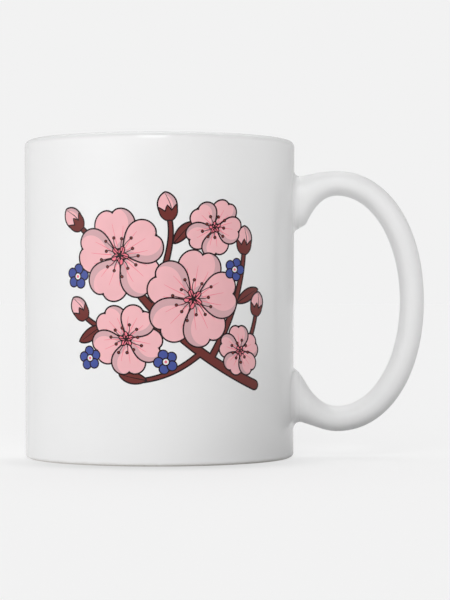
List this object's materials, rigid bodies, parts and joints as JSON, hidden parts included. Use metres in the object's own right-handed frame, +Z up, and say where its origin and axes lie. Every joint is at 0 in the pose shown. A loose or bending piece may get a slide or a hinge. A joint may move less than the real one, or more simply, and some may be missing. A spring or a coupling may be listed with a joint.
{
  "type": "ceramic mug",
  "caption": "Straight-sided glazed ceramic mug with a rounded lip, a recessed foot and a D-shaped side handle.",
  "frame": {"origin": "middle of the footprint of cup and handle together, on the surface the mug stands on; the cup's axis is at x = -0.0197", "axes": "+X from the cup towards its handle, +Z up along the cup's axis, +Y completes a right-handed frame"},
  "size_m": [0.1214, 0.082, 0.096],
  "materials": {
    "glaze": "glossy white glaze"
  },
  "bodies": {
    "root": {"cup": "glaze", "handle": "glaze"}
  },
  "joints": []
}
